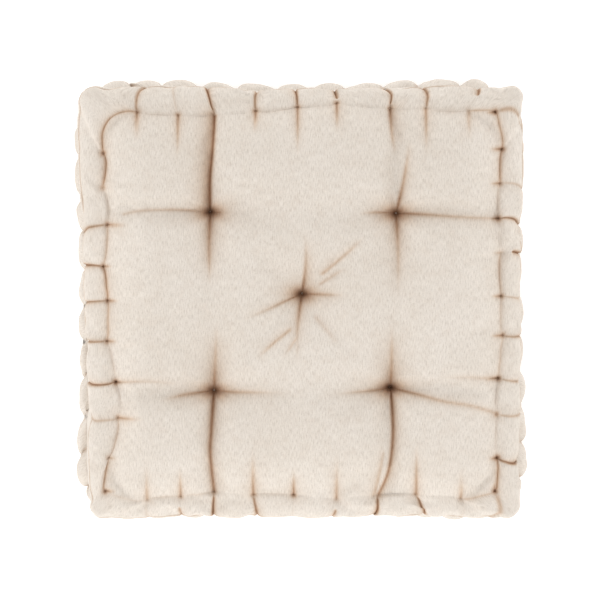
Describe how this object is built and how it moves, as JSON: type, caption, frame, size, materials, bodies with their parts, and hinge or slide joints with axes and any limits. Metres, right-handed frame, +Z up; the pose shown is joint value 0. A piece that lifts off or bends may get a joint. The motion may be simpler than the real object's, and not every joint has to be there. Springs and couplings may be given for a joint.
{
  "type": "chair seat pad",
  "caption": "Square boxed seat pad in cream slub fabric, with thread tufts and a hand-stitched scalloped roll round both faces.",
  "frame": {"origin": "middle of the underside, which rests on the seat", "axes": "+Z up out of the top face, +X along the width, +Y along the depth towards the back edge"},
  "size_m": [0.5084, 0.4964, 0.127],
  "materials": {
    "cover_fabric": "cream slub weave, matt",
    "fibre": "loose white polyester fibre",
    "twine": "beige twisted twine",
    "sewing_thread": "cream sewing thread"
  },
  "bodies": {
    "root": {"top_panel": "cover_fabric", "bottom_panel": "cover_fabric", "boxing_front": "cover_fabric", "boxing_right": "cover_fabric", "boxing_back": "cover_fabric", "boxing_left": "cover_fabric", "fibre_filling": "fibre", "tuft_tie_centre": "twine", "tuft_tie_front_left": "twine", "tuft_tie_front_right": "twine", "tuft_tie_back_left": "twine", "tuft_tie_back_right": "twine", "upper_edge_stitches_front": "twine", "upper_edge_stitches_right": "twine", "upper_edge_stitches_back": "twine", "upper_edge_stitches_left": "twine", "lower_edge_stitches_front": "twine", "lower_edge_stitches_right": "twine", "lower_edge_stitches_back": "twine", "lower_edge_stitches_left": "twine", "upper_seam_thread": "sewing_thread", "lower_seam_thread": "sewing_thread", "corner_seam_thread_front_left": "sewing_thread", "corner_seam_thread_front_right": "sewing_thread", "corner_seam_thread_back_left": "sewing_thread", "corner_seam_thread_back_right": "sewing_thread"}
  },
  "joints": []
}
